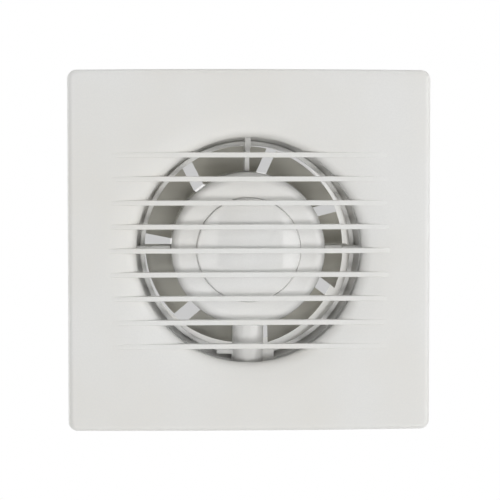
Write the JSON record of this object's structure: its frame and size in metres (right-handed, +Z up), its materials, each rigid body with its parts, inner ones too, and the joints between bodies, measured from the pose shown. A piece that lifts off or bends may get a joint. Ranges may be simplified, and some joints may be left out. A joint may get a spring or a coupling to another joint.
{
  "type": "axial extractor fan",
  "caption": "Square wall-mounted axial extractor fan with a louvred clip-on front, a motor pod in the opening, a bladed impeller behind it and a round duct spigot.",
  "frame": {"origin": "where the fan's axis meets the wall plane", "axes": "-Y out of the wall towards the room, +Y along the duct spigot into the wall, +Z up, +X to the right seen from the room"},
  "size_m": [0.158, 0.0864, 0.158],
  "materials": {
    "white_plastic": "fine satin moulded ABS",
    "gloss_white_plastic": "polished moulded ABS",
    "grey_plastic": "satin moulded plastic",
    "black_plastic": "satin glass-filled plastic",
    "grommet_rubber": "matt rubber",
    "steel": "zinc-plated",
    "lamination_steel": "stacked electrical sheet",
    "copper": "enamelled copper",
    "sintered_bronze": "matt sintered bronze",
    "brass": "bright brass",
    "brown_insulation": "satin cable insulation",
    "blue_insulation": "satin cable insulation"
  },
  "bodies": {
    "housing": {"wall_housing": "white_plastic", "motor_bracket": "white_plastic", "pod_shell": "white_plastic", "pod_cap": "gloss_white_plastic", "stator_core": "lamination_steel", "coil_core": "lamination_steel", "coil_bobbin": "black_plastic", "coil_winding": "copper", "shading_ring_left": "copper", "shading_ring_right": "copper", "front_bearing_bracket": "steel", "rear_bearing_bracket": "steel", "front_bush": "sintered_bronze", "rear_bush": "sintered_bronze", "motor_screw_left": "steel", "motor_screw_right": "steel", "bracket_screw_1": "steel", "bracket_screw_2": "steel", "bracket_screw_3": "steel", "bracket_screw_4": "steel", "terminal_block": "black_plastic", "terminal_screw_1": "brass", "terminal_screw_2": "brass", "terminal_screw_3": "brass", "terminal_screw_4": "brass", "cable_clamp": "white_plastic", "clamp_screw_1": "steel", "clamp_screw_2": "steel", "cable_grommet": "grommet_rubber", "lead_live": "brown_insulation", "lead_neutral": "blue_insulation"},
    "grille": {"front_grille": "white_plastic"},
    "impeller_shaft": {"impeller": "grey_plastic", "impeller_nut": "brass", "motor_shaft": "steel", "rotor": "lamination_steel", "thrust_washer_front": "grey_plastic", "thrust_washer_rear": "grey_plastic"}
  },
  "joints": [
    {"name": "impeller_spin", "type": "hinge", "parent": "housing", "child": "impeller_shaft", "pos_m": [0, 0, 0], "axis": [0, 1, 0], "continuous": true},
    {"name": "grille_pull", "type": "slide", "parent": "housing", "child": "grille", "axis": [0, -1, 0], "range_m": [0, 0.03]}
  ]
}
